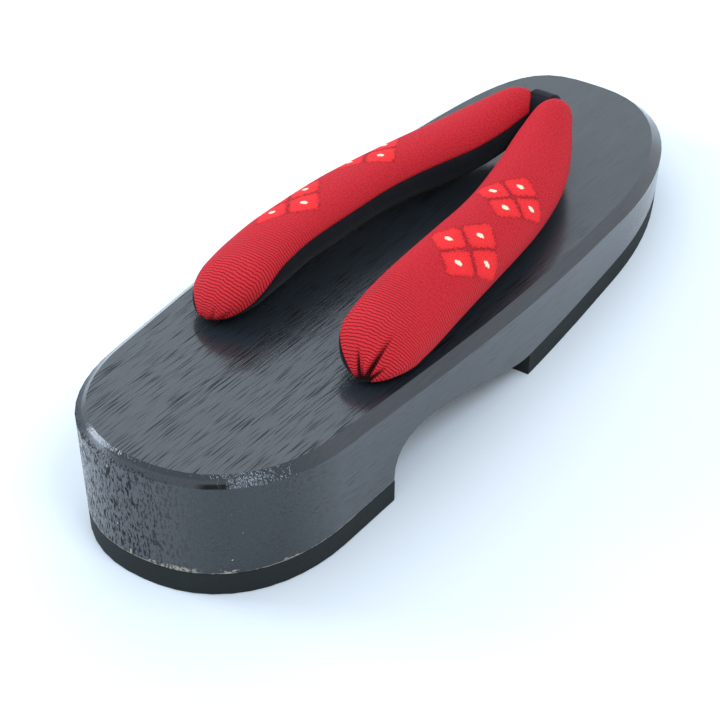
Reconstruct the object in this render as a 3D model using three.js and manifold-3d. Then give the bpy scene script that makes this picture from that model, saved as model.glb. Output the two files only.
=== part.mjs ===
// One geta sandal: a lacquered wooden board cut from one block, a rubber pad
// under the heel and one under the forefoot, and a padded cloth strap that
// forms a V. Units are millimetres, +Z is up, +Y points to the toe and +X to
// the right side of the foot. The origin is on the floor, under the middle.

import * as THREE from 'three';
import { mergeVertices } from 'three/addons/utils/BufferGeometryUtils.js';
import Module from 'manifold-3d';

const wasm = await Module();
wasm.setup();

// Board: overall sizes
const boardLength = 235;
const topAtHeel = 37.7;
const topAtToe = 17.9;
const chamferWidth = 2.9;
const chamferDrop = 2.5;
const wallLeanHeel = 0.02;
const wallLeanToe = 0.11;

// Board: outline of each side, seen from above
const rightSide = { side: 1, heel: 36.0, toe: 35.5, belly: 4.5, toeZone: 64, toeRound: 2.2 };
const leftSide = { side: -1, heel: 34.6, toe: 33.9, belly: 5.9, toeZone: 60, toeRound: 3.4 };
const heelZone = 40;
const heelRound = 2.23;
const toeTipShift = -3.8;
const toeShiftShare = 0.33;
const outlinePoints = 112;
const outlineFineSteps = 600;
const roundFacets = 20;

// Arch under the waist of the board, seen from the side
const padThickness = 6.9;
const glueLine = 0.1;
const archHeel = -58.9;
const archToe = 4.2;
const archRise = 26.2;
const archRun = 14.9;
const archSteps = 18;
const archFineSteps = 60;
const heelPadLip = 0.6;
const toeSpring = 1.6;
const toeSpringLength = 42;
const toeSpringSteps = 6;
const beyond = 5;

// Strap holes in the board
const strapMiddle = 2.15;
const rearHoleSpread = 24.7;
const rearHoleY = -55.5;
const frontHoleX = 0.9;
const frontHoleY = 75;
const rearHoleAhead = 5;
const holeRadius = 4.2;
const rearHoleSlant = 30;
const knotRecessRadius = 9;
const knotRecessDepth = 6;

// Padded strap: sizes that its table of sections follows
const strapHalfWidth = 11.5;
const strapHalfThickness = 7.5;
const strapRise = 10.5;
const liningThickness = 1.5;
const pieceGap = 0.3;
const seamInner = 8;
const seamOuter = -10;
const rearNose = 13;
const frontNose = 9;
const noseTip = 0.25;
const strapSteps = 30;
const evenSteps = 0.3;
const directionStep = 0.004;
const frontTurn = 0.7;
const coverFacets = 17;
const liningFacets = 10;
const sectionRound = 2.25;
const seamGap = 3;

// Front of the strap: the fold that joins both sides and the loop round it
const foldBack = 3;
const foldRise = 11.4;
const foldRadius = 3.2;
const foldReach = 4.5;
const loopRadius = 6.9;
const loopWidth = 9.4;
const loopEdge = 1.6;
const postRadius = 4.6;

// Cords that hold the strap in the board
const cordRadius = 3.5;
const cordIntoStrap = 2.5;
const knotRadius = 6.2;
const rearKnotFlatness = 0.9;
const toeKnotFlatness = 0.7;
const knotSeat = 0.7;
const knotSteps = 8;
const searchStep = 0.25;

const halfLength = boardLength / 2;
const colours = {
  lacquer: { color: 0x2b2e33, roughness: 0.38, metalness: 0 },
  rubber: { color: 0x141516, roughness: 0.85, metalness: 0 },
  crepe: { color: 0xb3202c, roughness: 0.9, metalness: 0 },
  velvet: { color: 0x0b0c10, roughness: 1, metalness: 0 },
  cord: { color: 0x1b1a1c, roughness: 0.95, metalness: 0 },
};

// Solids from closed meshes, and back
function toSolid(geometry) {
  const bare = geometry.clone();
  bare.deleteAttribute('normal');
  bare.deleteAttribute('uv');
  const merged = mergeVertices(bare, 1e-4);
  return new wasm.Manifold(new wasm.Mesh({
    numProp: 3,
    vertProperties: merged.attributes.position.array,
    triVerts: new Uint32Array(merged.index.array),
  }));
}

function toMesh(name, solid, colour) {
  const data = mainBody(solid).getMesh();
  const geometry = new THREE.BufferGeometry();
  geometry.setAttribute('position', new THREE.BufferAttribute(data.vertProperties, 3));
  geometry.setIndex(new THREE.BufferAttribute(data.triVerts, 1));
  geometry.computeVertexNormals();
  const mesh = new THREE.Mesh(geometry, new THREE.MeshStandardMaterial(colour));
  mesh.name = name;
  return mesh;
}

// The main body of a cut, without the slivers that a cut can leave
function mainBody(solid) {
  const bodies = solid.decompose();
  return bodies.reduce((best, body) => (body.volume() > best.volume() ? body : best));
}

// Moves every vertex of a three.js geometry to where place() says
function reshape(geometry, place) {
  const position = geometry.attributes.position;
  const point = new THREE.Vector3();
  for (let i = 0; i < position.count; i += 1) {
    point.fromBufferAttribute(position, i);
    place(point);
    position.setXYZ(i, point.x, point.y, point.z);
  }
  return geometry;
}

// Board outline
function clamp01(value) {
  return Math.min(1, Math.max(0, value));
}

function topHeight(y) {
  return topAtHeel + (topAtToe - topAtHeel) * (y + halfLength) / boardLength;
}

function outlineX(side, y) {
  const along = (y + halfLength) / boardLength;
  const belly = side.belly * Math.sin(Math.PI * along) ** 2;
  const width = side.heel + (side.toe - side.heel) * along + belly;
  const intoHeel = clamp01((heelZone - halfLength - y) / heelZone);
  const intoToe = clamp01((y - halfLength + side.toeZone) / side.toeZone);
  const heelShare = Math.max(0, 1 - intoHeel ** heelRound) ** (1 / heelRound);
  const toeShare = Math.max(0, 1 - intoToe ** side.toeRound) ** (1 / side.toeRound);
  const tip = toeTipShift * THREE.MathUtils.smoothstep(intoToe, 0, toeShiftShare);
  return (tip + (side.side * width - tip) * toeShare) * heelShare;
}

// Points once round the outline, evenly spaced from the middle of the heel,
// with the direction that faces outwards
function outlineLoop() {
  const fine = [];
  const half = outlineFineSteps;
  for (let i = 0; i < 2 * half; i += 1) {
    const goingToToe = i < half;
    const y = (goingToToe ? -halfLength : halfLength) * Math.cos(Math.PI * (i % half) / half);
    const tip = goingToToe ? 0 : toeTipShift;
    const x = i % half ? outlineX(goingToToe ? rightSide : leftSide, y) : tip;
    fine.push(new THREE.Vector2(x, y));
  }
  fine.push(fine[0].clone());
  const points = new THREE.Shape(fine).getSpacedPoints(outlinePoints).slice(0, outlinePoints);
  return points.map((point, i) => {
    const before = points[(i + outlinePoints - 1) % outlinePoints];
    const after = points[(i + 1) % outlinePoints];
    const outward = new THREE.Vector2(after.y - before.y, before.x - after.x).normalize();
    return { point, outward };
  });
}

const outline = outlineLoop();

// Whole block from the floor to the top, before the arch is cut.
// Its rows, from the bottom up, are the floor, the rim and the chamfered top.
function blockForm() {
  const rows = 2;
  const form = new THREE.CylinderGeometry(1, 1, rows, outlinePoints, rows);
  return reshape(form, (vertex) => {
    const row = Math.round(vertex.y + rows / 2);
    const onAxis = Math.hypot(vertex.x, vertex.z) < 0.5;
    if (onAxis) {
      vertex.set(0, 0, row === 0 ? 0 : topHeight(0));
      return;
    }
    const turn = Math.atan2(vertex.x, vertex.z) / (2 * Math.PI);
    const index = (Math.round(turn * outlinePoints) + outlinePoints) % outlinePoints;
    const { point, outward } = outline[index];
    const rim = topHeight(point.y) - chamferDrop;
    const along = (point.y + halfLength) / boardLength;
    const lean = wallLeanHeel + (wallLeanToe - wallLeanHeel) * along;
    const inset = [lean * rim, 0, chamferWidth][row];
    const x = point.x - outward.x * inset;
    const y = point.y - outward.y * inset;
    vertex.set(x, y, [0, rim, topHeight(y)][row]);
  });
}

// Side profiles, drawn in Y and Z and extruded right across the board
function across(points) {
  const shape = new THREE.Shape(points.map(([y, z]) => new THREE.Vector2(y, z)));
  const form = new THREE.ExtrudeGeometry(shape, { depth: boardLength, bevelEnabled: false });
  return reshape(form, (vertex) => {
    vertex.set(vertex.z - boardLength / 2, vertex.x, vertex.y);
  });
}

function springHeight(y) {
  const rise = clamp01((y - halfLength + toeSpringLength) / toeSpringLength);
  return toeSpring * rise * rise;
}

function springCurve(offset) {
  const points = [];
  for (let i = 0; i <= toeSpringSteps; i += 1) {
    const y = halfLength - toeSpringLength + toeSpringLength * i / toeSpringSteps;
    points.push([y, springHeight(y) + offset]);
  }
  points.push([halfLength + beyond, springHeight(halfLength) + offset]);
  return points;
}

const archCurve = new THREE.CubicBezierCurve(
  new THREE.Vector2(archHeel, padThickness),
  new THREE.Vector2(archHeel, padThickness + archRise),
  new THREE.Vector2(archToe - archRun, padThickness),
  new THREE.Vector2(archToe, padThickness),
);

function archHeight(y) {
  const points = archCurve.getPoints(archFineSteps);
  const next = points.findIndex((point) => point.x >= y);
  if (next < 1) return padThickness;
  const [from, to] = [points[next - 1], points[next]];
  return from.y + (to.y - from.y) * (y - from.x) / (to.x - from.x);
}

// Room under the arch, kept a gap away from the wood
function makeArchRoom() {
  const points = [];
  for (let i = 0; i <= archSteps; i += 1) {
    const point = archCurve.getPoint(i / archSteps);
    const tangent = archCurve.getTangent(i / archSteps);
    points.push([point.x + tangent.y * pieceGap, point.y - tangent.x * pieceGap]);
  }
  return toSolid(across([[archHeel + pieceGap, 0], ...points, [archToe, 0]]));
}

// Rear hole: it opens under the strap's end and slants forwards to the arch
function rearHoleFrame(side) {
  const x = strapMiddle + side * rearHoleSpread;
  const y = rearHoleY + rearHoleAhead;
  const slant = THREE.MathUtils.degToRad(rearHoleSlant);
  const mouth = new THREE.Vector3(x, y, topHeight(y));
  const down = new THREE.Vector3(0, Math.sin(slant), -Math.cos(slant));
  return { mouth, down };
}

// Turned form whose axis starts at a point and runs along a direction
function turned(profile, start, direction, segments) {
  const points = profile.map(([radius, height]) => new THREE.Vector2(radius, height));
  const form = new THREE.LatheGeometry(points, segments);
  const turn = new THREE.Quaternion();
  turn.setFromUnitVectors(new THREE.Vector3(0, 1, 0), direction);
  form.applyQuaternion(turn);
  form.translate(start.x, start.y, start.z);
  return form;
}

// Straight round rod or bore along an axis
function rod(radius, from, to, start, direction) {
  const profile = [[0, from], [radius, from], [radius, to], [0, to]];
  return toSolid(turned(profile, start, direction, roundFacets));
}

const block = toSolid(blockForm());
const tall = topAtHeel + strapRise;
const recessRoof = padThickness + glueLine + knotRecessDepth;
const upwards = new THREE.Vector3(0, 0, 1);
const down = new THREE.Vector3(0, 0, -1);
const rightwards = new THREE.Vector3(1, 0, 0);
const frontMouth = new THREE.Vector3(frontHoleX, frontHoleY, topHeight(frontHoleY));

// Board
function makeBoard() {
  const under = padThickness + glueLine;
  const profile = [
    [-halfLength - beyond, under],
    [archHeel, under],
    ...archCurve.getPoints(archSteps).map((point) => [point.x, point.y + glueLine]).slice(1, -1),
    [archToe, under],
    ...springCurve(under),
    [halfLength + beyond, tall],
    [-halfLength - beyond, tall],
  ];
  let solid = block.intersect(toSolid(across(profile)));
  for (const side of [1, -1]) {
    const hole = rearHoleFrame(side);
    solid = solid.subtract(rod(holeRadius, -tall, tall, hole.mouth, hole.down));
  }
  solid = solid.subtract(rod(holeRadius, -tall, tall, frontMouth, down));
  return solid.subtract(rod(knotRecessRadius, frontMouth.z - recessRoof, tall, frontMouth, down));
}

// Rubber pads
function makeHeelPad() {
  const profile = [
    [-halfLength - beyond, 0],
    [archHeel + heelPadLip, 0],
    [archHeel + heelPadLip, padThickness],
    [-halfLength - beyond, padThickness],
  ];
  return block.intersect(toSolid(across(profile)));
}

function makeForefootPad() {
  const profile = [
    [archToe, 0],
    ...springCurve(0),
    ...springCurve(padThickness).reverse(),
    [archToe, padThickness],
  ];
  const solid = block.intersect(toSolid(across(profile)));
  return solid.subtract(rod(knotRecessRadius, 0, tall, frontMouth, down));
}

// Strap sections from the rear hole to the front hole. Lengths are shares:
// along of the way between the holes, spread of the rear holes' spread, rise
// of strapRise, wide and thick of the strap's half sizes. Tilt is in degrees.
const sections = [
  { along: -0.022, spread: 1.000, rise: 0.24, wide: 0.98, thick: 0.66, tilt: 6 },
  { along: 0.027, spread: 0.965, rise: 0.55, wide: 1.00, thick: 0.76, tilt: 10 },
  { along: 0.073, spread: 0.940, rise: 0.72, wide: 1.00, thick: 0.85, tilt: 14 },
  { along: 0.142, spread: 0.930, rise: 0.82, wide: 1.00, thick: 0.94, tilt: 17 },
  { along: 0.234, spread: 0.915, rise: 0.95, wide: 0.98, thick: 0.97, tilt: 18 },
  { along: 0.414, spread: 0.855, rise: 1.01, wide: 0.93, thick: 0.97, tilt: 16 },
  { along: 0.504, spread: 0.812, rise: 0.99, wide: 0.90, thick: 0.97, tilt: 17 },
  { along: 0.595, spread: 0.739, rise: 0.95, wide: 0.89, thick: 1.00, tilt: 18 },
  { along: 0.685, spread: 0.635, rise: 0.92, wide: 0.88, thick: 1.06, tilt: 18 },
  { along: 0.775, spread: 0.512, rise: 0.93, wide: 0.84, thick: 1.07, tilt: 16 },
  { along: 0.866, spread: 0.368, rise: 1.04, wide: 0.71, thick: 1.03, tilt: 14 },
  { along: 0.945, spread: 0.246, rise: 1.19, wide: 0.52, thick: 0.95, tilt: 11 },
  { along: 1.012, spread: 0.190, rise: 1.19, wide: 0.38, thick: 0.80, tilt: 8 },
];

// Smooth value of one column of the table
function sectionAt(column, along) {
  const last = sections.length - 1;
  let row = sections.findIndex((section) => section.along >= along);
  row = Math.min(Math.max(row, 1), last);
  const slope = (at) => {
    const before = sections[Math.max(at - 1, 0)];
    const after = sections[Math.min(at + 1, last)];
    return (after[column] - before[column]) / (after.along - before.along);
  };
  const from = sections[row - 1];
  const to = sections[row];
  const step = to.along - from.along;
  const share = clamp01((along - from.along) / step);
  const square = share * share;
  const cube = square * share;
  return from[column] * (2 * cube - 3 * square + 1)
    + slope(row - 1) * step * (cube - 2 * square + share)
    + to[column] * (3 * square - 2 * cube)
    + slope(row) * step * (cube - square);
}

const holeDistance = frontHoleY - rearHoleY;
const strapStart = sections[0].along;
const strapEnd = sections[sections.length - 1].along;

function strapCentre(side, along) {
  const y = rearHoleY + holeDistance * along;
  const turn = THREE.MathUtils.smoothstep(along, frontTurn, 1);
  const middle = THREE.MathUtils.lerp(strapMiddle, frontHoleX, turn);
  const x = middle + side * rearHoleSpread * sectionAt('spread', along);
  return new THREE.Vector3(x, y, topHeight(y) + strapRise * sectionAt('rise', along));
}

// Share of the full size near the rounded ends
function noseShare(along) {
  const fromRear = (along - strapStart) * holeDistance / rearNose;
  const fromFront = (strapEnd - along) * holeDistance / frontNose;
  const near = clamp01(Math.min(fromRear, fromFront));
  return Math.max(noseTip, Math.sqrt(1 - (1 - near) ** 2));
}

// Oval section point at an angle: 0 is the outer edge and 90 the top.
// The section is one unit to each side, and the inset is in millimetres.
function ovalPoint(degrees, inset) {
  const angle = THREE.MathUtils.degToRad(degrees);
  const across = Math.cos(angle);
  const up = Math.sin(angle);
  const power = 2 / sectionRound;
  return new THREE.Vector2(
    (1 - inset / strapHalfWidth) * Math.sign(across) * Math.abs(across) ** power,
    (1 - inset / strapHalfThickness) * Math.sign(up) * Math.abs(up) ** power,
  );
}

function arcPoints(from, to, facets, inset) {
  const points = [];
  for (let i = 0; i <= facets; i += 1) {
    points.push(ovalPoint(from + (to - from) * i / facets, inset));
  }
  return points;
}

// Extrudes a unit section along one side's strap and gives it its size there.
// It can grow sideways, and reach over its two ends.
function strapForm(side, shape, grow, over) {
  const form = new THREE.ExtrudeGeometry(shape, {
    depth: 1, steps: strapSteps, bevelEnabled: false,
  });
  const reach = strapEnd - strapStart;
  return reshape(form, (vertex) => {
    const even = side > 0 ? 1 - vertex.z : vertex.z;
    const eased = 0.5 - 0.5 * Math.cos(Math.PI * even);
    const along = strapStart + reach * (evenSteps * even + (1 - evenSteps) * eased);
    const ahead = strapCentre(side, along + directionStep);
    const behind = strapCentre(side, along - directionStep);
    const forward = ahead.sub(behind).normalize();
    const outer = forward.clone().cross(upwards).normalize().multiplyScalar(side);
    const upper = outer.clone().cross(forward).multiplyScalar(side);
    const tilt = THREE.MathUtils.degToRad(sectionAt('tilt', along));
    const nose = noseShare(along);
    const wide = vertex.x * (strapHalfWidth * sectionAt('wide', along) * nose + grow);
    const thick = vertex.y * (strapHalfThickness * sectionAt('thick', along) * nose + grow);
    const end = even < 1 / (2 * strapSteps) ? -1 : Math.floor(even + 1 / (2 * strapSteps));
    vertex.copy(strapCentre(side, along)).addScaledVector(forward, end * over);
    vertex.addScaledVector(outer, wide * Math.cos(tilt) + thick * Math.sin(tilt));
    vertex.addScaledVector(upper, thick * Math.cos(tilt) - wide * Math.sin(tilt));
  });
}

// Room for the velvet, from the seams down and out past the section
function velvetRoom(side) {
  const under = liningThickness + pieceGap;
  const shape = new THREE.Shape([
    ...arcPoints(180 - seamInner, 360 + seamOuter, liningFacets, under),
    ...arcPoints(360 + seamOuter, 180 - seamInner, liningFacets, -under),
  ]);
  return toSolid(strapForm(side, shape, 0, under));
}

function liningForm(side) {
  const from = 180 - seamInner + seamGap;
  const to = 360 + seamOuter - seamGap;
  const shape = new THREE.Shape([
    ...arcPoints(from, to, liningFacets, liningThickness),
    ...arcPoints(to, from, liningFacets, 0),
  ]);
  return toSolid(strapForm(side, shape, 0, 0));
}

function wholeStrap(side, grow) {
  const shape = new THREE.Shape([
    ...arcPoints(seamOuter, 180 - seamInner, coverFacets, 0),
    ...arcPoints(180 - seamInner, 360 + seamOuter, liningFacets, 0).slice(1, -1),
  ]);
  return toSolid(strapForm(side, shape, grow, grow));
}

// Everything below the board's top and a gap over it
const boardRoom = toSolid(across([
  [-halfLength - beyond, 0],
  [halfLength + beyond, 0],
  [halfLength + beyond, topHeight(halfLength + beyond) + pieceGap],
  [-halfLength - beyond, topHeight(-halfLength - beyond) + pieceGap],
]));
const strapRoom = wholeStrap(1, pieceGap).add(wholeStrap(-1, pieceGap));

// The fold runs from side to side inside the front ends of both straps
const foldCentre = frontMouth.clone();
foldCentre.y -= foldBack;
foldCentre.z = topHeight(foldCentre.y) + foldRise;

function foldForm(grow) {
  return rod(foldRadius + grow, -foldReach, foldReach, foldCentre, rightwards);
}

// All the space on one side of the front hole, from a gap outwards
function sideRoom(side, gap) {
  const start = new THREE.Vector3(frontHoleX + side * gap, 0, 0);
  const direction = rightwards.clone().multiplyScalar(side);
  return rod(boardLength, 0, boardLength, start, direction);
}

// All the space ahead of a line across the board
function roomAhead(y) {
  return toSolid(across([[y, 0], [halfLength, 0], [halfLength, tall], [y, tall]]));
}

// The velvet ends where the strap enters the toe loop. From there on the crepe
// goes all round, and the fold joins both straps.
const velvetEnd = foldCentre.y - foldRadius - pieceGap;

function makeCover() {
  const sides = [1, -1].map((side) => wholeStrap(side, 0)
    .subtract(velvetRoom(side).subtract(roomAhead(velvetEnd + pieceGap)))
    .intersect(sideRoom(side, 0)));
  return sides[0].add(sides[1]).add(foldForm(0)).subtract(boardRoom);
}

const cover = makeCover();

// Velvet under one side's strap, from seam to seam
function makeLining(side) {
  return liningForm(side)
    .intersect(velvetRoom(side))
    .intersect(sideRoom(side, pieceGap))
    .subtract(roomAhead(velvetEnd))
    .subtract(boardRoom);
}

// Toe loop: a cloth ring round the fold, on a post that stands on the board
function makeToeLoop() {
  const inner = foldRadius + pieceGap;
  const half = loopWidth / 2;
  const profile = [
    [inner, -half],
    [loopRadius - loopEdge, -half],
    [loopRadius, loopEdge - half],
    [loopRadius, half - loopEdge],
    [loopRadius - loopEdge, half],
    [inner, half],
    [inner, -half],
  ];
  const ring = toSolid(turned(profile, foldCentre, rightwards, roundFacets));
  const post = rod(postRadius, 0, foldRise, frontMouth, upwards).subtract(foldForm(pieceGap));
  return ring.add(post).subtract(strapRoom).subtract(cover).subtract(boardRoom);
}

// Cord through a hole, with its knot under the board
function knotProfile(centre, flatness) {
  const points = [];
  for (let i = 0; i <= knotSteps; i += 1) {
    const angle = Math.PI * i / knotSteps;
    const height = centre - knotRadius * flatness * Math.cos(angle);
    points.push([knotRadius * Math.sin(angle), height]);
  }
  points[0][0] = 0;
  points[knotSteps][0] = 0;
  return points;
}

function makeRearCord(side) {
  const hole = rearHoleFrame(side);
  const exit = new THREE.Vector3();
  let reach = 0;
  do {
    reach += searchStep;
    exit.copy(hole.mouth).addScaledVector(hole.down, reach);
  } while (exit.z > archHeight(exit.y));
  const depth = reach + knotRadius * knotSeat;
  const profile = knotProfile(depth, rearKnotFlatness);
  const knot = turned(profile, hole.mouth, hole.down, roundFacets);
  const stem = rod(cordRadius, -cordIntoStrap, depth, hole.mouth, hole.down);
  return stem.subtract(strapRoom).add(toSolid(knot).intersect(archRoom));
}

function makeToeCord() {
  const roof = frontMouth.z - recessRoof;
  const profile = knotProfile(roof + pieceGap + knotRadius * toeKnotFlatness, toeKnotFlatness);
  const knot = turned(profile, frontMouth, down, roundFacets);
  return rod(cordRadius, pieceGap, roof + knotRadius, frontMouth, down).add(toSolid(knot));
}

const archRoom = makeArchRoom();
const geta = new THREE.Group();
geta.add(toMesh('board', makeBoard(), colours.lacquer));
geta.add(toMesh('heel_pad', makeHeelPad(), colours.rubber));
geta.add(toMesh('forefoot_pad', makeForefootPad(), colours.rubber));
geta.add(toMesh('strap_cover', cover, colours.crepe));
geta.add(toMesh('strap_lining_right', makeLining(1), colours.velvet));
geta.add(toMesh('strap_lining_left', makeLining(-1), colours.velvet));
geta.add(toMesh('toe_loop', makeToeLoop(), colours.velvet));
geta.add(toMesh('toe_cord', makeToeCord(), colours.cord));
geta.add(toMesh('rear_cord_right', makeRearCord(1), colours.cord));
geta.add(toMesh('rear_cord_left', makeRearCord(-1), colours.cord));

export default geta;
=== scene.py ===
import math

import bpy
import numpy as np
from mathutils import Matrix, Vector


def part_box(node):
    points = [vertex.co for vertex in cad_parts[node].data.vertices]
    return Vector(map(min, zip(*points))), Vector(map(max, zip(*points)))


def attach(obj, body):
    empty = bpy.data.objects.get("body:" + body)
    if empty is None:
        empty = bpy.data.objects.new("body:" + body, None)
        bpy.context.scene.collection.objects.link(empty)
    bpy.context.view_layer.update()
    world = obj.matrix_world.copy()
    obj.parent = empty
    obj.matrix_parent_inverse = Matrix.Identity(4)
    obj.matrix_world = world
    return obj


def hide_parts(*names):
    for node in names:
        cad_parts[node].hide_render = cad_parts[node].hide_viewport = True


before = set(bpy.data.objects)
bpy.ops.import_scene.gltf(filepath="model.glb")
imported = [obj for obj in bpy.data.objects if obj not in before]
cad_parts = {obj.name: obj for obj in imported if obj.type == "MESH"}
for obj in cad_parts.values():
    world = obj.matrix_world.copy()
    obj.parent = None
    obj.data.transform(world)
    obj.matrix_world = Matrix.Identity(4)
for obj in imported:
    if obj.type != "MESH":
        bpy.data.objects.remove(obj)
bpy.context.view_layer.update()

# Camera, light and floor
# The sandal stands on a seamless white floor. The camera looks down at it from
# behind its heel and right side, as in the photograph, with a long lens.
camera_azimuth = math.radians(35.43)
camera_height = math.radians(37.8)
camera_roll = math.radians(-2.11)
camera_target = Vector((0.01131, -0.03564, 0.020))
camera_distance = 0.7317

camera_data = bpy.data.cameras.new("camera")
camera_data.sensor_width = 36
camera_data.lens = 140
camera_data.clip_start = 0.05
camera = bpy.data.objects.new("camera", camera_data)
bpy.context.scene.collection.objects.link(camera)
bpy.context.scene.camera = camera
back = Vector((
    math.sin(camera_azimuth) * math.cos(camera_height),
    -math.cos(camera_azimuth) * math.cos(camera_height),
    math.sin(camera_height),
))
level_right = (-back).cross(Vector((0, 0, 1))).normalized()
level_up = level_right.cross(-back)
right = level_right * math.cos(camera_roll) + level_up * math.sin(camera_roll)
up = level_up * math.cos(camera_roll) - level_right * math.sin(camera_roll)
turn = Matrix((right, up, back)).transposed().to_4x4()
camera.matrix_world = Matrix.Translation(camera_target + back * camera_distance) @ turn

world = bpy.data.worlds.new("studio")
bpy.context.scene.world = world
world.use_nodes = True
world.node_tree.nodes["Background"].inputs["Color"].default_value = (0.93, 0.98, 1, 1)
world.node_tree.nodes["Background"].inputs["Strength"].default_value = 0.95
bpy.context.scene.view_settings.view_transform = "Standard"


def soft_light(name, place, size, watts, colour):
    """A square lamp that faces the middle of the sandal."""
    data = bpy.data.lights.new(name, "AREA")
    data.size = size
    data.color = colour
    data.energy = watts
    lamp = bpy.data.objects.new(name, data)
    lamp.location = place
    lamp.rotation_mode = "QUATERNION"
    lamp.rotation_quaternion = (Vector(place) - camera_target).to_track_quat("Z", "Y")
    bpy.context.scene.collection.objects.link(lamp)


soft_light("far_panel", (-0.62, 0.95, 0.86), 1.1, 4.6, (0.84, 1, 1.2))
soft_light("near_lamp", (0.68, -0.3, 1.08), 0.42, 4.6, (0.8, 0.92, 1.12))
soft_light("left_lamp", (-1.12, -0.39, 0.53), 0.48, 8, (0.78, 0.9, 1.08))

# The floor lies a hair below the pads, so that their faces don't share a plane
floor_size, floor_gap = 12, 0.00005
bpy.ops.object.select_all(action="DESELECT")
bpy.ops.mesh.primitive_plane_add(size=floor_size, location=(0, 0, -floor_gap))
floor = bpy.context.object
floor.name = "floor"
paper = bpy.data.materials.new("white_paper")
paper.use_nodes = True
paper_shader = paper.node_tree.nodes["Principled BSDF"]
paper_shader.inputs["Base Color"].default_value = (0.84, 0.9, 0.96, 1)
paper_shader.inputs["Roughness"].default_value = 0.9
floor.data.materials.append(paper)


# Wooden board
# One block of light wood, sawn to shape, with an arch cut under the waist and a
# chamfer round the top. Thin black lacquer lets the grain show through.


def select_only(piece):
    """Leaves edit mode and makes one piece the selected and active one."""
    if bpy.context.object:
        bpy.ops.object.mode_set(mode="OBJECT")
    bpy.ops.object.select_all(action="DESELECT")
    piece.select_set(True)
    bpy.context.view_layer.objects.active = piece


def apply_modifiers(piece):
    select_only(piece)
    for modifier in list(piece.modifiers):
        bpy.ops.object.modifier_apply(modifier=modifier.name)


def copied_node(node, name, edge, segments=3, sharp=30):
    """A copy of a CAD node with its flat faces whole again and its edges softly rounded.

    edge is the rounding in metres, and sharp the least angle, in degrees, that gets it.
    """
    same_point, same_plane, smooth_below, flat_pull = 2e-6, math.radians(0.6), math.radians(32), 80
    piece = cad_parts[node].copy()
    piece.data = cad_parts[node].data.copy()
    piece.name = piece.data.name = name
    piece.data.materials.clear()
    bpy.context.scene.collection.objects.link(piece)
    select_only(piece)
    bpy.ops.object.mode_set(mode="EDIT")
    bpy.ops.mesh.select_all(action="SELECT")
    bpy.ops.mesh.remove_doubles(threshold=same_point)
    bpy.ops.mesh.dissolve_limited(angle_limit=same_plane)
    bpy.ops.object.mode_set(mode="OBJECT")
    bevel = piece.modifiers.new("edges", "BEVEL")
    bevel.width = edge
    bevel.segments = segments
    bevel.limit_method = "ANGLE"
    bevel.angle_limit = math.radians(sharp)
    select_only(piece)
    bpy.ops.object.shade_smooth_by_angle(angle=smooth_below)
    weighted = piece.modifiers.new("flat_faces", "WEIGHTED_NORMAL")
    weighted.keep_sharp = True
    weighted.weight = flat_pull
    apply_modifiers(piece)
    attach(piece, "root")
    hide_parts(node)
    return piece


class Net:
    """A node tree, with short calls that add and link its nodes."""

    def __init__(self, tree):
        self.tree = tree

    def node(self, kind, **values):
        made = self.tree.nodes.new(kind)
        for key, value in values.items():
            setattr(made, key, value)
        return made

    def link(self, source, target):
        self.tree.links.new(source, target)

    def feed(self, value, socket):
        """Links a value to a socket, or sets it there when it is a plain number or colour."""
        if isinstance(value, (int, float, tuple)):
            socket.default_value = value
        else:
            self.link(value, socket)

    def fed(self, kind, inputs, **values):
        """A node with its inputs fed by name."""
        made = self.node(kind, **values)
        for key, value in inputs.items():
            self.feed(value, made.inputs[key])
        return made

    def place(self):
        return self.node("ShaderNodeTexCoord").outputs["Object"]

    def stretched(self, vector, scale, turned=(0, 0, 0), moved=(0, 0, 0)):
        inputs = {"Vector": vector, "Scale": scale, "Rotation": turned, "Location": moved}
        return self.fed("ShaderNodeMapping", inputs).outputs["Vector"]

    def noise(self, vector, scale=1.0, detail=2.0, rough=0.5, output="Fac"):
        inputs = {"Vector": vector, "Scale": scale, "Detail": detail, "Roughness": rough}
        return self.fed("ShaderNodeTexNoise", inputs).outputs[output]

    def ramp(self, value, low, high, ends=(0.0, 1.0)):
        """A smooth rise of a value from low to high, given between the two ends."""
        keys = ("Value", "From Min", "From Max", "To Min", "To Max")
        inputs = dict(zip(keys, (value, low, high, *ends)))
        made = self.fed("ShaderNodeMapRange", inputs, interpolation_type="SMOOTHSTEP")
        return made.outputs["Result"]

    def math(self, operation, *values):
        made = self.node("ShaderNodeMath", operation=operation)
        for socket, value in zip(made.inputs, values):
            self.feed(value, socket)
        return made.outputs["Value"]

    def vector(self, operation, *values):
        made = self.node("ShaderNodeVectorMath", operation=operation)
        for socket, value in zip(made.inputs, values):
            self.feed(value, socket)
        return made.outputs["Value" if operation in ("LENGTH", "DOT_PRODUCT") else "Vector"]

    def of_all(self, operation, first, *others):
        for other in others:
            first = self.math(operation, first, other)
        return first

    def times(self, *values):
        return self.of_all("MULTIPLY", *values)

    def most(self, *values):
        return self.of_all("MAXIMUM", *values)

    def plus(self, start, value, share):
        """The start, and a share of the value on top."""
        return self.math("MULTIPLY_ADD", value, share, start)

    def without(self, mask, share=1.0):
        """One where the mask is nought, and less by the share where it is full."""
        return self.plus(1, mask, -share)

    def mix(self, share, first, second):
        made = self.node("ShaderNodeMix", data_type="RGBA")
        colours = [socket for socket in made.inputs if socket.type == "RGBA"]
        for socket, value in zip((made.inputs["Factor"], *colours), (share, first, second)):
            self.feed(value, socket)
        return next(socket for socket in made.outputs if socket.type == "RGBA")

    def split(self, vector):
        return self.fed("ShaderNodeSeparateXYZ", {"Vector": vector}).outputs

    def bump(self, height, strength, distance):
        inputs = {"Height": height, "Strength": strength, "Distance": distance}
        return self.fed("ShaderNodeBump", inputs).outputs["Normal"]


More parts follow.
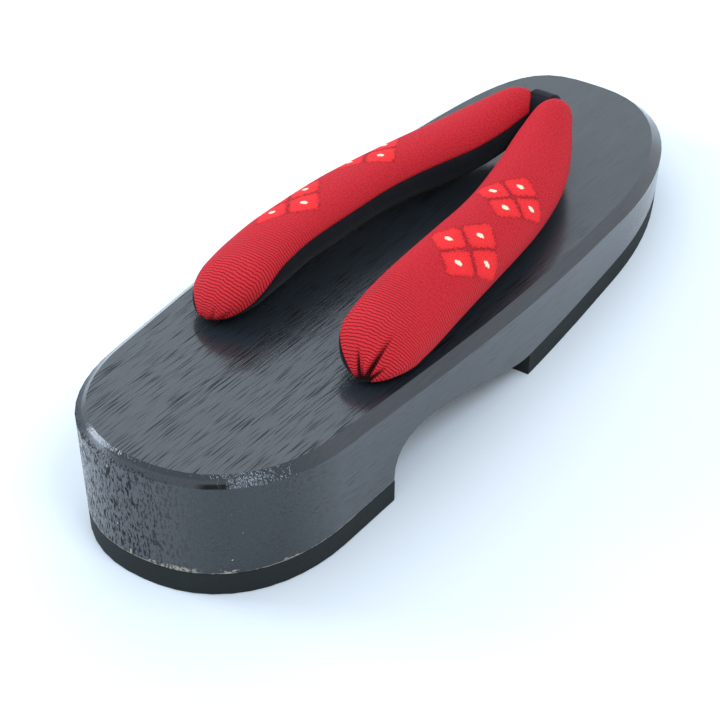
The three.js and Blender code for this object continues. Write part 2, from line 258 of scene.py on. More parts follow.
class Sheet(Net):
    """A material's nodes, which end in its Principled shader."""

    def __init__(self, name):
        self.material = bpy.data.materials.new(name)
        self.material.use_nodes = True
        super().__init__(self.material.node_tree)
        self.shader = self.tree.nodes["Principled BSDF"]

    def give(self, name, value):
        self.feed(value, self.shader.inputs[name])


# The wood's two ends, its top at each of them, and its foot on the pads
heel_end, toe_end = -0.1175, 0.1175
top_at_heel, top_at_toe = 0.0377, 0.0179
top_slope = (top_at_toe - top_at_heel) / (toe_end - heel_end)
wood_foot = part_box("heel_pad")[1][2]
wood_edge = 0.0005

board = copied_node("board", "lacquered_board", wood_edge)

# Below, a pair of numbers is where a mask is nought and where it is full: in metres
# along X or Y, under the top or above the foot, or as a share of a noise or a normal
lacquer = Sheet("lacquered_wood")
where = lacquer.place()
at = lacquer.split(where)
facing = lacquer.split(lacquer.node("ShaderNodeNewGeometry").outputs["Normal"])
under_top = lacquer.plus(top_at_heel - heel_end * top_slope, at["Y"], top_slope)
under_top = lacquer.math("SUBTRACT", under_top, at["Z"])
above_foot = lacquer.math("SUBTRACT", at["Z"], wood_foot)

# The kinds of face, and the two ends of the board
top_facing, wall_facing = (0.93, 0.98), (0.35, 0.15)
heel_y, front_y = (-0.078, -0.1), (-0.02, 0.06)
top = lacquer.ramp(facing["Z"], *top_facing)
wall = lacquer.ramp(facing["Z"], *wall_facing)
chamfer = lacquer.math("SUBTRACT", lacquer.without(top), wall)
heel = lacquer.ramp(at["Y"], *heel_y)
front = lacquer.ramp(at["Y"], *front_y)
heel_wall = lacquer.times(wall, heel)
heel_chamfer = lacquer.times(chamfer, heel)

# The grain lies along the slope of the top, with long dark pores, closest at the heel
fibre_scale, pore_scale, band_scale = (2300, 60, 2300), (2900, 85, 2900), (160, 9, 160)
pore_moved, band_moved = (3, 1, 2), (1, 5, 2)
pore_open, band_share = (0.77, 0.95), 0.5
front_loss, wall_loss, chamfer_loss = 0.8, 0.65, 0.9
grain_axes = {"X": at["X"], "Y": at["Y"], "Z": under_top}
grain_place = lacquer.fed("ShaderNodeCombineXYZ", grain_axes).outputs["Vector"]
fibre_place = lacquer.stretched(grain_place, fibre_scale)
pore_place = lacquer.stretched(grain_place, pore_scale, moved=pore_moved)
band_place = lacquer.stretched(grain_place, band_scale, moved=band_moved)
fibre = lacquer.noise(fibre_place, detail=3, rough=0.6)
pores = lacquer.noise(pore_place, detail=1)
bands = lacquer.noise(band_place, detail=3, rough=0.6)
open_pore = lacquer.times(
    lacquer.ramp(lacquer.plus(pores, bands, band_share), *pore_open),
    lacquer.without(front, front_loss),
    lacquer.without(wall, wall_loss),
    lacquer.without(chamfer, chamfer_loss),
)

# Upright flecks where the saw crossed the grain, on the left of the heel
fleck_x, fleck_y, fleck_under_top = (0.022, -0.003), (-0.03, -0.1), (0.0012, 0.0024)
fleck_scale, fleck_moved, fleck_open = (1700, 1700, 560), (7, 2, 4), (0.48, 0.59)
fleck_on_rim = 0.1
fleck_place = lacquer.times(
    lacquer.ramp(at["X"], *fleck_x),
    lacquer.ramp(at["Y"], *fleck_y),
    lacquer.without(top),
    lacquer.ramp(under_top, *fleck_under_top, ends=(fleck_on_rim, 1.0)),
)
flecks = lacquer.stretched(where, fleck_scale, moved=fleck_moved)
flecks = lacquer.noise(flecks, detail=3, rough=0.65)
fleck = lacquer.times(lacquer.ramp(flecks, *fleck_open), fleck_place)

# Thick lacquer on the heel's chamfer: brush lumps on its rim and its right part, a
# dull band under the rim on the left, and one patch that is darker and duller
rim_under_top, right_part_x = (0.0012, 0.0007), (0.018, 0.024)
lumpy_x, dull_x = (-0.014, 0.0), (-0.022, -0.002)
patch_left_x, patch_right_x, patch_under_top = (0.0155, 0.0195), (0.0245, 0.0225), (0.0014, 0.0019)
lump_scale, left_lumps, dull_ends = 620, 0.12, (0.95, 0.3)
lumps = lacquer.noise(where, lump_scale, 2, 0.6)
glossy = lacquer.most(lacquer.ramp(under_top, *rim_under_top), lacquer.ramp(at["X"], *right_part_x))
thick = lacquer.times(heel_chamfer, glossy)
lumpy = lacquer.times(thick, lacquer.ramp(at["X"], *lumpy_x, ends=(left_lumps, 1.0)))
# A patch low on the heel's chamfer, right of the middle, darker and with less film
dark_patch = lacquer.times(
    lacquer.ramp(at["X"], *patch_left_x),
    lacquer.ramp(at["X"], *patch_right_x),
    lacquer.ramp(under_top, *patch_under_top),
    heel_chamfer,
)
dull = lacquer.times(
    heel_chamfer,
    lacquer.without(glossy),
    lacquer.ramp(at["X"], *dull_x, ends=dull_ends),
)
dull = lacquer.most(dull, dark_patch)

# Bare wood along the rubber, where the edge was rubbed, scraped and nicked
rubbed_height, rubbed_y, rubbed_open = (0.0018, 0.0006), (-0.06, -0.09), (0.62, 0.68)
line_height, line_y, line_open = (0.00045, 0.0002), (-0.05, -0.085), (0.44, 0.56)
scrape_left_x, scrape_right_x = (0.0005, 0.004), (0.0175, 0.0135)
scrape_height, scrape_open = (0.0019, 0.0012), (0.46, 0.56)
nick_x, nick_away, nick_height = -0.0026, (0.0005, 0.0002), (0.0021, 0.0014)
speck_scale, speck_open = 620, (0.79, 0.82)
line_strength, scrape_strength = 0.6, 0.75
rub_scale, rub_moved = (260, 260, 700), (2, 9, 5)
scratch_scale, scratch_moved = (1300, 1300, 1000), (5, 5, 1)
rubs = lacquer.stretched(where, rub_scale, moved=rub_moved)
rubs = lacquer.noise(rubs, detail=3, rough=0.7)
rubbed = lacquer.times(
    lacquer.ramp(above_foot, *rubbed_height),
    lacquer.ramp(at["Y"], *rubbed_y),
    lacquer.ramp(rubs, *rubbed_open),
)
hairline = lacquer.times(
    lacquer.ramp(above_foot, *line_height),
    lacquer.ramp(at["Y"], *line_y),
    lacquer.ramp(rubs, *line_open),
    line_strength,
)
scratches = lacquer.stretched(where, scratch_scale, moved=scratch_moved)
scratches = lacquer.noise(scratches, detail=3, rough=0.6)
scrape = lacquer.times(
    lacquer.ramp(at["X"], *scrape_left_x),
    lacquer.ramp(at["X"], *scrape_right_x),
    lacquer.ramp(above_foot, *scrape_height),
    lacquer.ramp(scratches, *scrape_open),
)
from_nick = lacquer.math("ABSOLUTE", lacquer.math("SUBTRACT", at["X"], nick_x))
nick = lacquer.times(lacquer.ramp(from_nick, *nick_away), lacquer.ramp(above_foot, *nick_height))
specks = lacquer.ramp(lacquer.noise(where, speck_scale, 1), *speck_open)
bare = lacquer.most(
    rubbed,
    hairline,
    lacquer.times(lacquer.most(scrape, nick), heel, scrape_strength),
    lacquer.times(specks, heel_wall),
)

wall_dark, wall_light = (0.022, 0.026, 0.031, 1), (0.05, 0.058, 0.068, 1)
shade_black, top_black = (0.008, 0.014, 0.018, 1), (0.018, 0.023, 0.029, 1)
thick_black, patch_black = (0.012, 0.022, 0.028, 1), (0.002, 0.003, 0.003, 1)
pore_black, bare_wood = (0.003, 0.003, 0.003, 1), (0.38, 0.34, 0.27, 1)
shade_x, shade_strength, pore_strength = (0.008, 0.024), 0.75, 0.85
shaded = lacquer.times(heel_wall, lacquer.ramp(at["X"], *shade_x), shade_strength)
dark = lacquer.most(lacquer.times(open_pore, pore_strength), fleck)
tone = lacquer.mix(fibre, wall_dark, wall_light)
for mask, colour in (
    (shaded, shade_black),
    (top, top_black),
    (thick, thick_black),
    (dark_patch, patch_black),
    (dark, pore_black),
    (bare, bare_wood),
):
    tone = lacquer.mix(mask, tone, colour)
lacquer.give("Base Color", tone)

# The glossy film: weaker in pores, between bands, on the worn top and where dull
worn_y, worn_ends = (-0.09, 0.07), (0.21, 0.47)
dark_loss, dull_loss, least_film, band_film = 0.85, 0.9, 0.66, 0.5
plain_rough, dark_rough = 0.5, 0.2
worn = lacquer.times(lacquer.ramp(at["Y"], *worn_y, ends=worn_ends), top)
film = lacquer.times(
    lacquer.without(dark, dark_loss),
    lacquer.plus(least_film, bands, band_film),
    lacquer.without(worn),
    lacquer.without(dull, dull_loss),
)
lacquer.give("Coat Weight", film)
lacquer.give("Coat Roughness", 0.13)
lacquer.give("Coat IOR", 1.5)
lacquer.give("Specular IOR Level", 0.12)
lacquer.give("Roughness", lacquer.plus(plain_rough, dark, dark_rough))

# Heights of the grain and of what lies on it, as shares of the relief's depth
fibre_height, wall_fibre_drop, relief_depth = 0.9, -0.3, 0.00009
pore_height, lump_height, fleck_height = -0.6, 10.0, 2.0
relief = lacquer.times(fibre, lacquer.plus(fibre_height, wall, wall_fibre_drop))
relief = lacquer.plus(relief, dark, pore_height)
relief = lacquer.plus(relief, lacquer.times(lumpy, lumps), lump_height)
relief = lacquer.plus(relief, lacquer.times(fleck_place, flecks), fleck_height)
relief = lacquer.bump(relief, 0.5, relief_depth)
lacquer.give("Normal", relief)
lacquer.give("Coat Normal", relief)
board.data.materials.append(lacquer.material)


# Rubber pads
# Two cut pieces of black sole rubber, glued under the heel and the forefoot.
# They follow the board's outline and are matt, with a fine sanded surface.
rubber_edge = 0.0004
heel_pad = copied_node("heel_pad", "heel_rubber", rubber_edge)
forefoot_pad = copied_node("forefoot_pad", "forefoot_rubber", rubber_edge)

# Fine grain with cloudy darker and lighter patches, for each dull black material
fine_grain = bpy.data.node_groups.new("fine_grain", "ShaderNodeTree")
for name, kind, way in (
    ("Place", "NodeSocketVector", "INPUT"),
    ("Grain Scale", "NodeSocketFloat", "INPUT"),
    ("Patch Scale", "NodeSocketFloat", "INPUT"),
    ("Dark", "NodeSocketColor", "INPUT"),
    ("Light", "NodeSocketColor", "INPUT"),
    ("Colour", "NodeSocketColor", "OUTPUT"),
    ("Height", "NodeSocketFloat", "OUTPUT"),
):
    fine_grain.interface.new_socket(name=name, socket_type=kind, in_out=way)
grain_strength = 0.65
grain_net = Net(fine_grain)
given = grain_net.node("NodeGroupInput").outputs
result = grain_net.node("NodeGroupOutput").inputs
grains = grain_net.noise(given["Place"], given["Grain Scale"], 3, 0.6)
patches = grain_net.noise(given["Place"], given["Patch Scale"], 3, 0.6)
grain_net.link(grains, result["Height"])
grain_net.link(grain_net.mix(patches, given["Dark"], given["Light"]), result["Colour"])


def dull_black(name, scales, dark, light, depth, stretch=(1, 1, 1), turned=(0, 0, 0)):
    """A matt material with the fine grain: scales are of its grains and its patches.

    depth is how deep the grain is, in metres, and stretch and turned lay it in a direction.
    """
    sheet = Sheet(name)
    place = sheet.stretched(sheet.place(), stretch, turned)
    inputs = {"Place": place, "Dark": dark, "Light": light}
    inputs["Grain Scale"], inputs["Patch Scale"] = scales
    grain = sheet.fed("ShaderNodeGroup", inputs, node_tree=fine_grain).outputs
    sheet.give("Base Color", grain["Colour"])
    sheet.give("Normal", sheet.bump(grain["Height"], grain_strength, depth))
    return sheet


rubber_dark, rubber_light = (0.005, 0.0085, 0.009, 1), (0.014, 0.018, 0.0185, 1)
rubber_scales, crumb_depth = (1800, 60), 0.0002
rubber = dull_black("sole_rubber", rubber_scales, rubber_dark, rubber_light, crumb_depth)
rubber.give("Roughness", 0.75)
rubber.give("Specular IOR Level", 0.28)
for pad in (heel_pad, forefoot_pad):
    pad.data.materials.append(rubber.material)


# Crepe of the strap
# A thick cord wrapped in wadding and in red silk crepe. Each half runs from a
# rear hole to the toe loop, is fullest at the instep and gathered at the end.
rear_hole_y, hole_distance = -0.0555, 0.1305
rear_spread = 0.0247
strap_rise = 0.0105
strap_half_width = 0.0115
strap_half_thickness = 0.0075
strap_middle, front_hole_x = 0.00215, 0.0009
rear_nose, front_nose = 0.013, 0.009
section_round = 2.25
seam_inner, seam_outer = 172, -10
seam_lift_right, seam_lift_left, seam_drop_left, seam_drop_front = 40, 75, 26, 60
seam_lift_run, tip_run = 0.023, 0.011
left_side_slim = 0.0013
velvet_depth, velvet_stop = 0.0016, 0.945
board_clearance = 0.0002
crepe_stations, crepe_facets, under_seam = 260, 140, -100

# Each row is a place along the strap, then its spread, rise, width, thickness
# and tilt there, as shares of the sizes above and degrees
strap_sections = np.array((
    (-0.022, 1.000, 0.24, 0.98, 0.66, 6),
    (0.027, 0.965, 0.55, 1.00, 0.76, 10),
    (0.073, 0.940, 0.72, 1.00, 0.85, 14),
    (0.142, 0.930, 0.82, 1.00, 0.94, 17),
    (0.234, 0.915, 0.95, 0.98, 0.97, 18),
    (0.414, 0.855, 1.01, 0.93, 0.97, 16),
    (0.504, 0.812, 0.99, 0.90, 0.97, 17),
    (0.595, 0.739, 0.95, 0.89, 1.00, 18),
    (0.685, 0.635, 0.92, 0.88, 1.06, 18),
    (0.775, 0.512, 0.93, 0.84, 1.07, 16),
    (0.866, 0.368, 1.04, 0.71, 1.03, 14),
    (0.945, 0.246, 1.19, 0.52, 0.95, 11),
    (1.012, 0.190, 1.19, 0.38, 0.80, 8),
))
strap_start, strap_stop = strap_sections[0, 0], strap_sections[-1, 0]


def smoothstep(value, low, high):
    """A smooth rise from 0 at low to 1 at high."""
    share = np.clip((value - low) / (high - low), 0, 1)
    return share * share * (3 - 2 * share)


def section_value(column, along):
    """Smooth value of one column of the strap's table."""
    at, value = strap_sections[:, 0], strap_sections[:, column]
    last = len(at) - 1
    ahead = np.minimum(np.arange(last + 1) + 1, last)
    behind = np.maximum(np.arange(last + 1) - 1, 0)
    slope = (value[ahead] - value[behind]) / (at[ahead] - at[behind])
    row = np.clip(np.searchsorted(at, along), 1, last)
    step = at[row] - at[row - 1]
    share = np.clip((along - at[row - 1]) / step, 0, 1)
    square, cube = share**2, share**3
    return (
        value[row - 1] * (2 * cube - 3 * square + 1)
        + slope[row - 1] * step * (cube - 2 * square + share)
        + value[row] * (3 * square - 2 * cube)
        + slope[row] * step * (cube - square)
    )


def board_top(y):
    """Height of the board's top at a place along it."""
    return top_at_heel + top_slope * (y - heel_end)


def strap_centre(side, along):
    """Middle of the strap's section at places along it: side is 1 right, -1 left."""
    y = rear_hole_y + hole_distance * along
    near_toe = smoothstep(along, 0.7, 1)
    middle = strap_middle + (front_hole_x - strap_middle) * near_toe
    x = middle + side * rear_spread * section_value(1, along)
    return np.stack((x, y, board_top(y) + strap_rise * section_value(2, along)), axis=-1)


def strap_frame(side, along):
    """Centre, outward and upward directions of the strap at places along it."""
    step = 0.004
    forward = strap_centre(side, along + step) - strap_centre(side, along - step)
    forward /= np.linalg.norm(forward, axis=1)[:, None]
    outer = side * np.cross(forward, (0, 0, 1))
    outer /= np.linalg.norm(outer, axis=1)[:, None]
    upper = side * np.cross(outer, forward)
    tilt = np.radians(section_value(5, along))[:, None]
    across = outer * np.cos(tilt) - upper * np.sin(tilt)
    over = upper * np.cos(tilt) + outer * np.sin(tilt)
    return strap_centre(side, along), across, over


def nose_share(along):
    """How full the section is, where it closes in a round nose at both ends."""
    from_rear = (along - strap_start) * hole_distance / rear_nose
    from_front = (strap_stop - along) * hole_distance / front_nose
    near = np.clip(np.minimum(from_rear, from_front), 0, 1)
    return np.sqrt(np.clip(1 - (1 - near) ** 2, 0, 1))


def oval(degrees):
    """Shares across and over of a rounded section, at an angle from its outer side."""
    angle = np.radians(degrees)
    power = 2 / section_round
    return (
        np.sign(np.cos(angle)) * np.abs(np.cos(angle)) ** power,
        np.sign(np.sin(angle)) * np.abs(np.sin(angle)) ** power,
    )


def strap_surface(side, along, degrees, depth):
    """Points of the strap's skin: depth is how far below the full section."""
    centre, across, over = strap_frame(side, along)
    nose = nose_share(along)[:, None]
    wide = strap_half_width * section_value(3, along)[:, None] * nose
    thick = strap_half_thickness * section_value(4, along)[:, None] * nose
    share_x, share_z = oval(degrees)
    x = np.sign(share_x) * np.maximum(np.abs(share_x) * wide - depth * np.abs(share_x), 0)
    z = np.sign(share_z) * np.maximum(np.abs(share_z) * thick - depth * np.abs(share_z), 0)
    points = centre[:, None] + across[:, None] * x[..., None] + over[:, None] * z[..., None]
    points[..., 2] = np.maximum(points[..., 2], board_top(points[..., 1]) + board_clearance)
    return points


def tube_mesh(name, points, places=None, shade=None):
    """A closed tube from a grid primitive, moved to points, with its cloth map and shade."""
    pole_gap = 1e-6
    stations, facets = points.shape[:2]
    bpy.ops.object.select_all(action="DESELECT")
    bpy.ops.mesh.primitive_grid_add(x_subdivisions=facets - 1, y_subdivisions=stations - 1)
    piece = bpy.context.object
    piece.name = piece.data.name = name
    piece.data.vertices.foreach_set("co", points.reshape(-1, 3).ravel())
    if places is not None:
        corners = np.zeros(len(piece.data.loops), dtype=np.int32)
        piece.data.loops.foreach_get("vertex_index", corners)
        piece.data.uv_layers[0].name = "cloth"
        piece.data.uv_layers[0].uv.foreach_set("vector", places.reshape(-1, 2)[corners].ravel())
    if shade is not None:
        # The painted shade of the gathers and the hole goes in as an attribute
        gather_shade = piece.data.attributes.new("gather_shade", "FLOAT", "POINT")
        gather_shade.data.foreach_set("value", shade.ravel())
    select_only(piece)
    bpy.ops.object.mode_set(mode="EDIT")
    bpy.ops.mesh.select_all(action="SELECT")
    bpy.ops.mesh.remove_doubles(threshold=pole_gap)
    bpy.ops.mesh.normals_make_consistent(inside=False)
    bpy.ops.object.mode_set(mode="OBJECT")
    bpy.ops.object.shade_smooth()
    return piece


def stations_along(count):
    """Places along the strap, closer together towards its two ends."""
    closer = 0.65
    even = np.linspace(0, 1, count)
    eased = 0.5 - 0.5 * np.cos(np.pi * even)
    return strap_start + (strap_stop - strap_start) * ((1 - closer) * even + closer * eased)


def seams(side, along):
    """Where crepe meets velvet, in degrees: the velvet comes up on the left of each end."""
    from_rear = (along - strap_start) * hole_distance
    near_rear = 1 - smoothstep(from_rear, 0, seam_lift_run)
    at_tip = 1 - smoothstep(from_rear, 0, tip_run)
    near_front = smoothstep(along, 0.88, velvet_stop)
    inner = seam_inner - (at_tip * seam_lift_right if side > 0 else -near_rear * seam_drop_left)
    outer = seam_outer + at_tip * (0 if side > 0 else seam_lift_left) - seam_drop_front * near_front
    return inner[:, None], outer[:, None]


def slimmer(side, along, degrees):
    """How far the left side of an end lies inside the full section."""
    slim_from, slim_to = 0.024, 0.004
    near_rear = smoothstep((along - strap_start) * hole_distance, slim_from, slim_to)
    leftward = np.clip(-side * np.cos(np.radians(degrees)), 0, 1)
    return left_side_slim * near_rear[:, None] * leftward


def strap_places(along, points, degrees):
    """Centimetres ahead of the gathered end and round the strap from its top."""
    steps = np.linalg.norm(np.diff(points.mean(axis=1), axis=0), axis=1)
    upper = (degrees > 0) & (degrees < 180)
    skin = np.linalg.norm(np.diff(points[:, upper], axis=0), axis=2).mean(axis=1)
    from_rear = (along - strap_start) * hole_distance
    steps = np.where(from_rear[1:] < rear_nose, skin, steps)
    run = np.concatenate(([0], np.cumsum(steps)))
    run -= np.interp(rear_nose, from_rear, run)
    around = np.linalg.norm(np.diff(points, axis=1), axis=2)
    around = np.concatenate((np.zeros((len(points), 1)), np.cumsum(around, axis=1)), axis=1)
    top = np.argmin(np.abs(degrees - 90))
    around -= around[:, top : top + 1]
    return np.stack((np.repeat(run[:, None], len(degrees), 1), around), axis=-1) * 100


# Each gather runs from near the hole to a point on the skin: its ends, width
# and depth, in metres
gathers = {
    1: (
        ((0.0276, -0.0586, 0.0350), (0.0242, -0.0544, 0.0424), 0.00050, 0.0012),
        ((0.0284, -0.0583, 0.0350), (0.0306, -0.0478, 0.0440), 0.00060, 0.0017),
        ((0.0290, -0.0580, 0.0350), (0.0326, -0.0545, 0.0389), 0.00050, 0.0012),
        ((0.0280, -0.0584, 0.0350), (0.0268, -0.0556, 0.0404), 0.00045, 0.0007),
    ),
    -1: (
        ((-0.0190, -0.0583, 0.0345), (-0.0185, -0.0560, 0.0390), 0.00045, 0.0005),
        ((-0.0180, -0.0580, 0.0345), (-0.0140, -0.0545, 0.0385), 0.00045, 0.0005),
    ),
}
# The side from which the gathers are seen square on
gather_face = Vector((0.3, -0.8, 0.52)).normalized()
darkest_depth, gather_reach = 0.001, (0.036, 0.044)
# Painted shade where the strap's end goes into its hole, on each side
hole_width, hole_shade = 0.0022, {1: 0.9, -1: 0.5}
# A gather narrows and fades towards its tip, and the cloth rises on its flanks
wide_at_hole, narrowing, fade_power = 1.25, 0.5, 0.6
flank_away, flank_width, flank_rise = 2.1, 1.1, 0.35


def gathered(side, points):
    """Points with the gathers pressed in, and their painted shade and the hole's, from 0 to 1,
    darker where a gather is deeper.
    """
    face = np.array(gather_face)
    across = np.cross((0, 0, 1), face)
    across /= np.linalg.norm(across)
    upright = np.cross(face, across)
    chart = np.stack((points @ across, points @ upright), axis=-1)
    press = np.zeros(points.shape[:-1])
    shade = np.zeros(points.shape[:-1])
    for start, stop, width, deep in gathers[side]:
        ends = np.array((start, stop))
        ends = np.stack((ends @ across, ends @ upright), axis=-1)
        line = ends[1] - ends[0]
        share = ((chart - ends[0]) @ line) / (line @ line)
        on_line = np.clip(share, 0, 1)
        away = np.linalg.norm(chart - ends[0] - on_line[..., None] * line, axis=-1)
        wide = width * (wide_at_hole - narrowing * on_line)
        fade = (1 - on_line) ** fade_power
        valley = np.exp(-((away / wide) ** 2)) * fade
        flank = np.exp(-(((away - flank_away * wide) / (flank_width * wide)) ** 2)) * fade
        press += deep * (valley - flank_rise * flank)
        # Each gather's valley gets painted shade, darker where the gather is deeper
        shade = np.maximum(shade, valley * min(1, deep / darkest_depth))
    # The strap's end at its hole gets painted shade as well
    start = np.array(gathers[side][0][0])
    start = np.array((start @ across, start @ upright))
    hole = np.exp(-((np.linalg.norm(chart - start, axis=-1) / hole_width) ** 2))
    shade = np.maximum(shade, hole * hole_shade[side])
    rearward = smoothstep(-points[..., 1], *gather_reach)
    return points - face * (press * rearward)[..., None], shade * rearward


def crepe_half(side):
    """Crepe of one half, which lies under the velvet by its depth past the seams."""
    along = stations_along(crepe_stations)
    degrees = np.linspace(under_seam, under_seam + 360, crepe_facets + 1)
    inner, outer = seams(side, along)
    seam_ease, velvet_fade = 12, (0.96, 0.93)
    crepe_shows = smoothstep(degrees, outer - seam_ease, outer)
    crepe_shows = crepe_shows * (1 - smoothstep(degrees, inner, inner + seam_ease))
    over_velvet = (1 - crepe_shows) * smoothstep(along, *velvet_fade)[:, None]
    depth = velvet_depth * over_velvet + slimmer(side, along, degrees[None])
    points = strap_surface(side, along, degrees[None], depth)
    places = strap_places(along, points, degrees)
    points, shade = gathered(side, points)
    points[..., 2] = np.maximum(points[..., 2], board_top(points[..., 1]) + board_clearance)
    points[:, -1] = points[:, 0]
    return tube_mesh("crepe_half", points, places, shade)


crepe_right = crepe_half(1)
crepe_left = crepe_half(-1)
select_only(crepe_right)
crepe_left.select_set(True)
crepe_left_offset = 20.0
for corner in crepe_left.data.uv_layers[0].uv:
    corner.vector.x += crepe_left_offset
bpy.ops.object.join()
crepe_strap = bpy.context.object
crepe_strap.name = crepe_strap.data.name = "crepe_strap"

# Each printed group of four lozenges: its middle, then the steps from the inner
# lozenge to the front one and to the rear one, in centimetres along and round
lozenge_groups = (
    ((3.66, -0.235), (0.74, -0.56), (-0.64, -0.67)),
    ((6.51, -0.07), (0.66, -0.55), (-0.50, -0.61)),
    ((22.98, -0.30), (0.76, -0.62), (-0.68, -0.56)),
    ((26.30, -0.40), (0.72, -0.58), (-0.62, -0.62)),
)

crepe = Sheet("red_crepe")
cloth = crepe.node("ShaderNodeUVMap", uv_map="cloth").outputs["UV"]
on = crepe.split(cloth)
ragged_scale, edge_ragged, dot_ragged, ragged_round = 17, 0.5, 0.16, 0.8
ragged = crepe.noise(cloth, ragged_scale, 3, 0.7, output="Color")
dot_along, dot_round, dot_reach = 0.078, 0.108, (1.15, 0.88)
corner_cut, cell_reach = 0.56, (0.475, 0.445)


def lozenge_steps(amount, middle, to_front, to_rear):
    """Steps towards the front and the rear lozenge, with the edges made ragged by amount."""
    moved = crepe.vector("MULTIPLY_ADD", ragged, (amount, ragged_round * amount, 0), cloth)
    centre = (middle[0] + amount / 2, middle[1] + ragged_round * amount / 2, 0)
    away = crepe.vector("SUBTRACT", moved, centre)
    area = to_front[0] * to_rear[1] - to_front[1] * to_rear[0]
    return [
        crepe.vector("DOT_PRODUCT", away, tuple(number / area for number in axis))
        for axis in ((to_rear[1], -to_rear[0], 0), (-to_front[1], to_front[0], 0))
    ]


cells, dots, group_sizes, cell_sizes = [], [], [], []
for middle, *ways in lozenge_groups:
    sizes = [crepe.math("ABSOLUTE", step) for step in lozenge_steps(edge_ragged, middle, *ways)]
    shares = [crepe.math("ABSOLUTE", crepe.math("SUBTRACT", size, 0.5)) for size in sizes]
    cell_sizes.append(crepe.most(crepe.times(crepe.math("ADD", *shares), corner_cut), *shares))
    group_sizes.append(crepe.most(*sizes))
    cells.append(crepe.ramp(cell_sizes[-1], *cell_reach))
    from_dot = (0, 0, 0)
    for step, way in zip(lozenge_steps(dot_ragged, middle, *ways), ways):
        share = crepe.math("SUBTRACT", crepe.math("FRACT", step), 0.5)
        axis = (way[0] / dot_along, way[1] / dot_round, 0)
        from_dot = crepe.vector("MULTIPLY_ADD", share, axis, from_dot)
    dot = crepe.ramp(crepe.vector("LENGTH", from_dot), *dot_reach)
    dots.append(crepe.times(dot, cells[-1]))
lozenge_mask, dot_mask = crepe.most(*cells), crepe.most(*dots)
group_size = crepe.of_all("MINIMUM", *group_sizes)
from_middle = crepe.of_all("MINIMUM", *cell_sizes)

# The ridges run round the strap and wander. They are crisp at the rear end and at
# both edges, fade towards the instep, and stop at the lozenges
ridge_pitch, ridge_width = 0.09, (0.0, 0.22)
wide_wave, wide_amount = (0.5, 2.3, 1), 1.7
short_wave, short_moved, short_amount = (2.6, 8.5, 1), (4, 2, 0), 0.9
gather_pull = -0.9
rear_lean, rear_reach = -0.8, (2.5, -0.3)
edge_middle, edge_reach, edge_stop, edge_strength = 0.2, (0.75, 1.3), (7.5, 4.0), 0.8
flat_valley_shade = 0.06
gather_shade = crepe.node("ShaderNodeAttribute", attribute_name="gather_shade").outputs["Fac"]
wide_wander = crepe.stretched(cloth, wide_wave)
wide_wander = crepe.noise(wide_wander, detail=2, rough=0.55)
short_wander = crepe.stretched(cloth, short_wave, moved=short_moved)
short_wander = crepe.noise(short_wander, detail=2, rough=0.6)
phase = crepe.times(on["X"], 1 / ridge_pitch)
phase = crepe.plus(phase, wide_wander, wide_amount)
phase = crepe.plus(phase, short_wander, short_amount)
phase = crepe.plus(phase, gather_shade, gather_pull)
ridge = crepe.ramp(crepe.math("PINGPONG", phase, 0.5), *ridge_width)
on_left = crepe.math("GREATER_THAN", on["X"], 0.8 * crepe_left_offset)
along_half = crepe.plus(on["X"], on_left, -crepe_left_offset)
near_rear = crepe.ramp(crepe.plus(along_half, on["Y"], rear_lean), *rear_reach)
from_top = crepe.math("ABSOLUTE", crepe.math("SUBTRACT", on["Y"], edge_middle))
on_edge = crepe.times(
    crepe.ramp(from_top, *edge_reach),
    crepe.ramp(along_half, *edge_stop),
    edge_strength,
)
crisp = crepe.times(crepe.most(near_rear, on_edge), crepe.without(lozenge_mask))
# The crests get a painted highlight, and the valleys painted shade
crest = crepe.times(ridge, crisp)
valley = crepe.times(crepe.without(ridge), crepe.plus(flat_valley_shade, crisp, 1 - flat_valley_shade))

# The crepe's own grain, between its threads
fuzz_scale, thread_scale = 26, (13, 22, 1)
fuzz = crepe.noise(cloth, fuzz_scale, 4, 0.7)
threads = crepe.noise(crepe.stretched(cloth, thread_scale), detail=2)
grain = crepe.plus(crepe.times(fuzz, 0.5), threads, 0.5)

red_dark, red_light = (0.38, 0.011, 0.021, 1), (0.62, 0.022, 0.031, 1)
# Painted highlight on the ridges' crests and painted shade in their valleys
crest_highlight_red, valley_shade_red = (0.64, 0.028, 0.038, 1), (0.3, 0.004, 0.010, 1)
print_dark, print_light = (0.7, 0.016, 0.022, 1), (0.9, 0.036, 0.04, 1)
print_edge, gap_shade_red = (0.66, 0.02, 0.028, 1), (0.2, 0.006, 0.012, 1)
# Painted shade in the gathers and at the hole
dot_white, fold_shade_black = (0.78, 0.76, 0.56, 1), (0.02, 0.001, 0.002, 1)
gap_reach, print_edge_reach, fold_shade_reach = (0.99, 0.93), (0.22, 0.5), (0.08, 0.65)
print_grain, red_grain = (0.35, 0.6), (0.35, 0.65)
gap_shade_strength, crest_highlight_strength, valley_shade_strength, fold_shade_strength = 0.24, 0.75, 0.9, 0.95
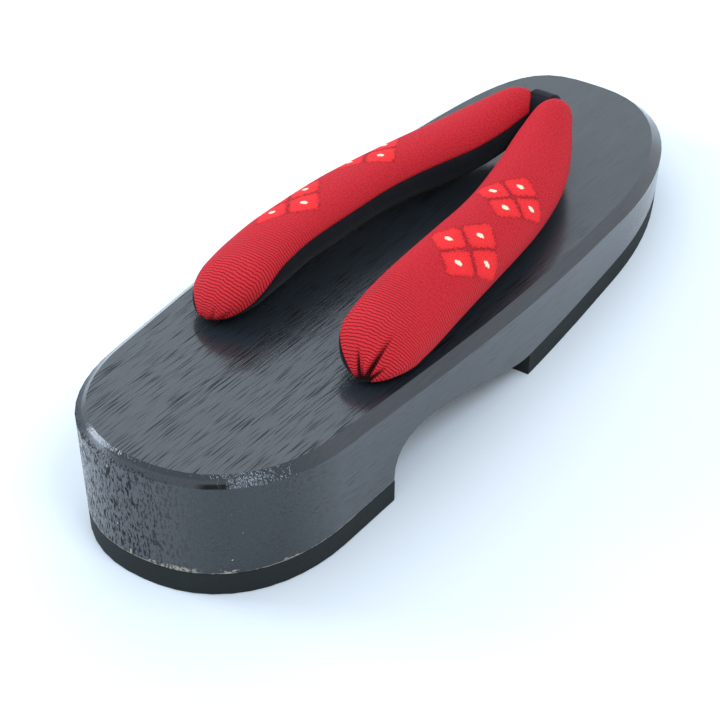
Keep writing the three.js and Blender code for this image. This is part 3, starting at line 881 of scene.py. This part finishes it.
# The gaps between the raised lozenges get painted shade
shaded_gap = crepe.math("SUBTRACT", crepe.ramp(group_size, *gap_reach), lozenge_mask)
print_edge_mask = crepe.ramp(from_middle, *print_edge_reach, ends=(0.0, 0.5))
printed = crepe.mix(crepe.ramp(fuzz, *print_grain), print_dark, print_light)
printed = crepe.mix(print_edge_mask, printed, print_edge)
red = crepe.mix(crepe.ramp(grain, *red_grain), red_dark, red_light)
for mask, colour in (
    (crepe.times(shaded_gap, gap_shade_strength), gap_shade_red),
    (crepe.times(crest, crest_highlight_strength), crest_highlight_red),
    (lozenge_mask, printed),
    (crepe.times(valley, valley_shade_strength), valley_shade_red),
    (dot_mask, dot_white),
    (crepe.times(crepe.ramp(gather_shade, *fold_shade_reach), fold_shade_strength), fold_shade_black),
):
    red = crepe.mix(mask, red, colour)
crepe.give("Base Color", red)
crepe.give("Roughness", 0.85)
crepe.give("Specular IOR Level", 0.15)

ridge_height, grain_height, print_height, dot_height = 0.75, 0.5, 0.8, 0.3
crepe_relief = 0.00035
height = crepe.times(crest, ridge_height)
height = crepe.plus(height, grain, grain_height)
height = crepe.plus(height, lozenge_mask, print_height)
height = crepe.plus(height, dot_mask, dot_height)
crepe.give("Normal", crepe.bump(height, 1.0, crepe_relief))
crepe_strap.data.materials.append(crepe.material)
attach(crepe_strap, "root")
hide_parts("strap_cover")


# Velvet under the strap
# The foot side of each half is black cotton velvet, sewn to the crepe along
# both edges, with a soft pile that hides the seam.
velvet_stations, velvet_facets = 200, 40
pile_sink, seam_sink, crepe_gap, velvet_overlap = 0.00005, 0.0004, 0.0001, 3


def velvet_half(side):
    """Velvet of one half: its pile from seam to seam, and back along the crepe."""
    along = stations_along(velvet_stations)
    along = along[along < velvet_stop]
    inner, outer = seams(side, along)
    round_under = 360 - 2 * velvet_overlap + outer - inner
    under = inner + velvet_overlap + round_under * np.linspace(0, 1, velvet_facets)[None]
    degrees = np.concatenate((under, under[:, ::-1], under[:, :1]), axis=1)
    sink = np.full(velvet_facets, pile_sink)
    sink[0] = sink[-1] = seam_sink
    depth = np.concatenate((sink, np.full(velvet_facets, velvet_depth - crepe_gap), sink[:1]))
    points = strap_surface(side, along, degrees, depth[None] + slimmer(side, along, degrees))
    points[:, -1] = points[:, 0]
    piece = tube_mesh("velvet_right" if side > 0 else "velvet_left", points)
    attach(piece, "root")
    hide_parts("strap_lining_right" if side > 0 else "strap_lining_left")
    return piece


velvet_dark, velvet_light = (0.0025, 0.003, 0.005, 1), (0.008, 0.010, 0.015, 1)
velvet_scales, pile_depth = (2500, 200), 0.0002
velvet = dull_black("black_velvet", velvet_scales, velvet_dark, velvet_light, pile_depth)
velvet.give("Roughness", 0.95)
velvet.give("Specular IOR Level", 0.15)
velvet.give("Sheen Weight", 0.06)
velvet.give("Sheen Roughness", 0.5)
for velvet_piece in (velvet_half(1), velvet_half(-1)):
    velvet_piece.data.materials.append(velvet.material)


# Toe loop and cords
# A velvet loop holds the fold of the strap and goes down into the front hole.
# Its cord, and the cords of the strap's ends, are knotted under the board.
loop_edge = 0.001
toe_loop = copied_node("toe_loop", "toe_velvet_loop", loop_edge, segments=4, sharp=28)
toe_loop.data.materials.append(velvet.material)

# The cord's strands lie nearly upright, in a slight twist
strand_stretch, strand_turn = (1, 1, 0.22), (0.5, 0, 0)
cord_dark, cord_light = (0.008, 0.008, 0.009, 1), (0.036, 0.036, 0.04, 1)
cord_scales, strand_depth = (1500, 240), 0.0003
cord = dull_black(
    "black_cord", cord_scales, cord_dark, cord_light, strand_depth, strand_stretch, strand_turn
)
cord.give("Roughness", 0.9)
for node in ("toe_cord", "rear_cord_right", "rear_cord_left"):
    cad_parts[node].data.materials.clear()
    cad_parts[node].data.materials.append(cord.material)
